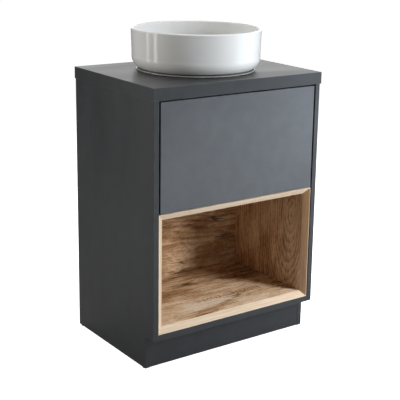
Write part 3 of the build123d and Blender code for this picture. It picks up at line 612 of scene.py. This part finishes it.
def kiln_warp(angle, radius, height):
    """The rim leaves the kiln a few tenths of a millimetre out of round and smaller: cosines of
    two and three times the angle, which grow with the square of the height."""
    lift = np.clip(height / BASIN_HEIGHT, 0, 1) ** 2
    waves = np.cos(2 * angle + 0.6) + 0.5 * np.cos(3 * angle - 1.1)
    return radius + lift * WARP * waves - lift * SHRINK


def glaze_material():
    """Clear gloss glaze over white china: long faint ripples, pinholes and a hint of cream
    where the glaze lies thick. The shadow groove and the foot ring are left rough; the groove is
    painted near black as painted shade, and the foot ring is bare china painted darker as the
    shade under the heel."""
    material, tree, shader = new_material("china_glaze")
    place = own_place(tree)
    thick = cloud(tree, place, 7.0)
    ripple = cloud(tree, place, 16.0, 1.0)
    speck = ease(tree, cloud(tree, place, 800.0, 1.0), 0.72, 0.80)
    colour = blend(tree, ease(tree, thick, 0.3, 0.7), GLAZE_WHITE, GLAZE_CREAM)
    colour = blend(tree, calc(tree, "MULTIPLY", speck, 0.25), colour, PINHOLE)
    part = split(tree, place)
    out_x = calc(tree, "POWER", calc(tree, "SUBTRACT", part[0], BASIN_X), 2.0)
    out_y = calc(tree, "POWER", calc(tree, "SUBTRACT", part[1], BASIN_Y), 2.0)
    radius = calc(tree, "SQRT", calc(tree, "ADD", out_x, out_y))
    # Painted shade: the shadow groove under the heel is coloured near black.
    inside = calc(tree, "LESS_THAN", radius, GROOVE_RADIUS)
    below = calc(tree, "MULTIPLY", inside, calc(tree, "LESS_THAN", part[2], GROOVE_HIGH))
    groove_shade = calc(tree, "MULTIPLY", below, calc(tree, "GREATER_THAN", part[2], GROOVE_LOW))
    colour = blend(tree, groove_shade, colour, PAINTED_GROOVE_SHADE)
    # The foot ring is bare china, darkened further as painted shade under the heel.
    ring = calc(tree, "LESS_THAN", part[2], RING_TOP)
    colour = blend(tree, ring, colour, BARE_RING_PAINTED_SHADE)
    rough = ease(tree, thick, 0.3, 0.7, 0.05, 0.10)
    rough = calc(tree, "MULTIPLY_ADD", calc(tree, "MAXIMUM", groove_shade, ring), 0.5, rough)
    feed(tree, shader, colour, rough, ripple, 0.0006, 0.35)
    shader.inputs["IOR"].default_value = 1.52
    return material


basin = turned("basin_shell", basin_outline(), (BASIN_X, BASIN_Y, BASIN_FOOT), BASIN_SEGMENTS,
               kiln_warp)
basin.data.materials.append(glaze_material())
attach(basin, "cabinet")
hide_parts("basin")


# ---- Sealant bed --------------------------------------------------------------------------------
# A bead of silicone holds the foot ring to the worktop, tooled hollow on its outer edge; its dark
# grey is painted shade where the basin meets the worktop.

def silicone():
    """Cured silicone, cloudy, with small bubbles, in a dark grey that is painted shade at the
    basin's foot.
    """
    material, tree, shader = new_material("silicone")
    place = own_place(tree)
    haze = cloud(tree, place, 60.0, 3.0)
    bubble = ease(tree, cloud(tree, place, 700.0, 1.0), 0.62, 0.74)
    shade_cloud = ease(tree, haze, 0.3, 0.7)
    # Painted shade: the bead's greys are dark so the contact line under the basin looks shaded.
    colour = blend(tree, shade_cloud, (0.20, 0.205, 0.205, 1), (0.30, 0.305, 0.30, 1))
    feed(tree, shader, colour, ease(tree, haze, 0.3, 0.7, 0.2, 0.35), bubble, 0.0001, 0.5)
    shader.inputs["Transmission Weight"].default_value = 0.95
    shader.inputs["IOR"].default_value = 1.41
    return material


dress(silicone(), "basin_sealant")


# ---- Waste --------------------------------------------------------------------------------------
# A turned brass waste, chromed where it shows: domed push plug, flange, threaded tail with its
# back nut, and black rubber seals above and below.

CHROME = metal("chrome", (0.62, 0.64, 0.67, 1), (0.76, 0.77, 0.80, 1), 0.07, 0.00001)
BRASS = metal("raw_brass", (0.50, 0.33, 0.11, 1), (0.68, 0.48, 0.19, 1), 0.28)
RUBBER = moulded("seal_rubber", (0.012, 0.012, 0.013, 1), (0.024, 0.024, 0.025, 1), 0.62, 0.0001)
dress(CHROME, "waste_body", "waste_plug")
dress(BRASS, "waste_nut", "plug_cartridge")
dress(RUBBER, "waste_flange_seal", "waste_washer", "plug_seal")


# ---- Bottle trap --------------------------------------------------------------------------------
# The trap is injection-moulded white polypropylene with ribbed hand nuts, satin from the mould.
# Each joint is sealed with a black rubber ring.

TRAP_WHITE = moulded("trap_plastic", (0.66, 0.66, 0.64, 1), (0.74, 0.74, 0.725, 1), 0.34)
dress(TRAP_WHITE, "trap_inlet_nut", "trap_inlet_tube", "trap_body_nut", "trap_body", "trap_cup",
      "trap_outlet_nut")
dress(RUBBER, "trap_inlet_washer", "trap_body_seal", "trap_cup_seal", "trap_outlet_seal")


# ---- Drawer front -------------------------------------------------------------------------------
# The handle-less slab front is the same slate decor in a smoother satin press, so it catches
# more light than the cabinet round it.

FRONT_SLATE = ((0.067, 0.0725, 0.080, 1), (0.087, 0.0935, 0.102, 1), (0.10, 0.107, 0.117, 1))
lay_slate("drawer_front", *FRONT_SLATE, satin=0.31)


# ---- Drawer box ---------------------------------------------------------------------------------
# The box is doweled from pale grey melamine board, with a walled recess that clears the trap.
# Zinc-plated screws hold the front to it.

BOX_FACE = (0.56, 0.56, 0.545, 1)
BOX_TINT = (0.62, 0.62, 0.61, 1)
for board, axis in (("drawer_side_left", 1), ("drawer_side_right", 1), ("drawer_box_front", 0),
                    ("drawer_back_left", 0), ("drawer_back_right", 0), ("recess_wall_left", 1),
                    ("recess_wall_right", 1), ("recess_wall_front", 0), ("drawer_floor", 1)):
    face_melamine(board, BOX_FACE, BOX_TINT, axis)
dress(PLATED_STEEL, "drawer_front_screws")


# ---- Runners and latches ------------------------------------------------------------------------
# Ball-bearing runners in rolled zinc-plated steel, three rails a side, with steel balls in
# pressed cages; black push-open latches sit behind the front.

RUNNER_STEEL = metal("runner_steel", (0.40, 0.42, 0.45, 1), (0.60, 0.62, 0.65, 1), 0.30)
LATCH_BLACK = moulded("latch_plastic", (0.02, 0.02, 0.021, 1), (0.035, 0.035, 0.036, 1), 0.42)
for side in ("left", "right"):
    dress(RUNNER_STEEL, "outer_rail_" + side, "mid_rail_" + side, "inner_rail_" + side)
    dress(PLATED_STEEL, "outer_ball_cage_" + side, "inner_ball_cage_" + side)
dress(PLATED_STEEL, "outer_rail_screws", "inner_rail_screws")
dress(LATCH_BLACK, "push_open_units")


# ---- Stage --------------------------------------------------------------------------------------
# A seamless pale studio floor. It looks white to the camera and gives back less light than it
# shows, as a floor does that is lit apart from the object.

FLOOR_RADIUS, FLOOR_RINGS, FLOOR_SPOKES = 30.0, 24, 64
FLOOR_LEVEL = -0.0004
FLOOR_GLOW = 0.88
FLOOR_BOUNCE = 0.36


def studio_floor():
    """A round floor: rings whose radius grows with the square of their number, with a closed
    middle."""
    radius = FLOOR_RADIUS * np.linspace(0, 1, FLOOR_RINGS)[:, None] ** 2
    angle = np.arange(FLOOR_SPOKES) * 2 * math.pi / FLOOR_SPOKES
    level = np.full((FLOOR_RINGS, FLOOR_SPOKES), FLOOR_LEVEL)
    return grid_mesh("studio_floor", np.stack([radius * np.cos(angle), radius * np.sin(angle),
                                               level], axis=-1))


def floor_paint():
    """Pale matt paint with a faint glow to the camera, and a duller grey to all other rays."""
    paint, tree, shader = new_material("floor_paint")
    patchy = cloud(tree, own_place(tree), 1.5, 3.0)
    feed(tree, shader, blend(tree, patchy, (0.86, 0.86, 0.86, 1), (0.90, 0.90, 0.90, 1)))
    shader.inputs["Roughness"].default_value = 0.9
    to_camera = add(tree, "ShaderNodeLightPath").outputs["Is Camera Ray"]
    glow = add(tree, "ShaderNodeEmission", {"Color": (1, 1, 1, 1), "Strength": FLOOR_GLOW})
    grey = (FLOOR_BOUNCE, FLOOR_BOUNCE, FLOOR_BOUNCE, 1)
    dull = add(tree, "ShaderNodeBsdfDiffuse", {"Color": grey}).outputs[0]
    bright = add(tree, "ShaderNodeAddShader", {0: shader.outputs[0], 1: glow.outputs[0]}).outputs[0]
    mixed = add(tree, "ShaderNodeMixShader", {0: to_camera, 1: dull, 2: bright}).outputs[0]
    tree.links.new(mixed, first_node(tree, "OUTPUT_MATERIAL").inputs["Surface"])
    return paint


floor = studio_floor()
floor.data.materials.append(floor_paint())


# ---- Light --------------------------------------------------------------------------------------
# A tall soft box at the front right is the key, with a small window light beside the basin. Two
# strips, a fill, a large panel and an overhead lamp stand behind and above, and a low card shows
# only in reflections. One lamp is for the floor, and a faint dome lights the rest.

DAYLIGHT = (0.93, 0.96, 1.0)
FLOOR_LIGHT = (0.88, 0.94, 1.0)
SKY_LIGHT = (0.80, 0.90, 1.0)
CARD_LIGHT = (0.78, 0.89, 1.0)
WARM_LIGHT = (1.0, 0.985, 0.95)
SOFT_LIGHT = (1.0, 0.99, 0.97)
WHITE_LIGHT = (1.0, 1.0, 1.0)
DOME_COLOUR = (1.0, 0.98, 0.95, 1)
DOME_STRENGTH = 0.16


def soft_box(name, place, aim, size, power, tint, glossy=True, diffuse=True, spread=180):
    """A rectangular light of size (width, height) at place, turned to face aim. glossy says if
    it shows in reflections, diffuse if it lights matt surfaces, and spread is the full angle
    that its grid lets out."""
    lamp = bpy.data.lights.new(name, "AREA")
    lamp.shape = "RECTANGLE"
    lamp.size, lamp.size_y = size
    lamp.energy, lamp.color = power, tint
    lamp.spread = math.radians(spread)
    holder = bpy.data.objects.new(name, lamp)
    holder.visible_camera = False
    holder.visible_glossy = glossy
    holder.visible_diffuse = diffuse
    turn = (Vector(place) - Vector(aim)).to_track_quat("Z", "Y").to_matrix().to_4x4()
    holder.matrix_world = Matrix.Translation(place) @ turn
    bpy.context.scene.collection.objects.link(holder)


def at_bearing(azimuth, distance, height):
    """A place round the vanity; azimuth is from straight in front towards the right."""
    turn = math.radians(azimuth)
    return (distance * math.sin(turn), -distance * math.cos(turn), height)


soft_box("key", (1.34, -1.98, 1.30), (0.2, -0.2, 0.5), (0.5, 2.0), 66, DAYLIGHT, glossy=False)
soft_box("window", (1.19, -0.55, 1.20), (0.0, 0.35, 0.95), (1.0, 1.3), 6, SKY_LIGHT, glossy=False)
soft_box("low_card", at_bearing(60, 2.0, 0.52), (0, 0, 0.6), (1.6, 0.8), 7.0, CARD_LIGHT,
         diffuse=False)
soft_box("left_rear", at_bearing(-112, 2.7, 1.75), (0, 0, 1.15), (2.8, 1.8), 10.5, WARM_LIGHT,
         glossy=False, spread=75)
soft_box("strip_near", at_bearing(-107.5, 2.2, 0.95), (0, 0, 0.9), (0.27, 1.9), 5.6, SOFT_LIGHT)
soft_box("strip_far", at_bearing(-125, 2.2, 0.95), (0, 0, 0.9), (0.25, 1.9), 3.2, SOFT_LIGHT)
soft_box("back_right", at_bearing(142, 3.2, 1.7), (0, 0, 0.84), (4.2, 2.2), 32, WHITE_LIGHT)
soft_box("overhead", (0.1, 0.4, 2.8), (0, 0, 0.9), (2.4, 2.0), 15, SOFT_LIGHT, spread=110)
soft_box("floor_wash", (2.4, -2.7, 1.9), (2.4, -2.7, 0.0), (1.8, 1.6), 74, FLOOR_LIGHT,
         glossy=False)

world = bpy.data.worlds.new("studio")
bpy.context.scene.world = world
world.use_nodes = True
tree = world.node_tree
dome = first_node(tree, "BACKGROUND")
dome.inputs["Color"].default_value = DOME_COLOUR
dome.inputs["Strength"].default_value = DOME_STRENGTH
white = add(tree, "ShaderNodeBackground", {"Color": (1, 1, 1, 1), "Strength": 1.0})
to_camera = add(tree, "ShaderNodeLightPath").outputs["Is Camera Ray"]
mixed = add(tree, "ShaderNodeMixShader", {0: to_camera, 1: dome.outputs[0], 2: white.outputs[0]})
tree.links.new(mixed.outputs[0], first_node(tree, "OUTPUT_WORLD").inputs["Surface"])
bpy.context.scene.view_settings.view_transform = "Standard"


# ---- Camera -------------------------------------------------------------------------------------
# A long lens at chest height, to the left of the vanity, looking down on it a little. It is
# shifted slightly, because the middle of the view lies off the lens's axis.

LENS, SENSOR = 90.58, 36.0
SHIFT_X, SHIFT_Y = -0.0875, -0.085
YAW, PITCH, ROLL = (math.radians(a) for a in (37.009, -14.187, 1.312))
CAMERA_PLACE = (-1.7288, -2.4900, 1.3056)

camera_data = bpy.data.cameras.new("camera")
camera_data.lens, camera_data.sensor_width = LENS, SENSOR
camera_data.shift_x, camera_data.shift_y = SHIFT_X, SHIFT_Y
camera = bpy.data.objects.new("camera", camera_data)
ahead = Vector((math.sin(YAW) * math.cos(PITCH), math.cos(YAW) * math.cos(PITCH), math.sin(PITCH)))
level = Vector((math.cos(YAW), -math.sin(YAW), 0))
above = level.cross(ahead)
right = level * math.cos(ROLL) + above * math.sin(ROLL)
top = above * math.cos(ROLL) - level * math.sin(ROLL)
turn = Matrix((right, top, -ahead)).transposed().to_4x4()
camera.matrix_world = Matrix.Translation(CAMERA_PLACE) @ turn
bpy.context.scene.collection.objects.link(camera)
bpy.context.scene.camera = camera
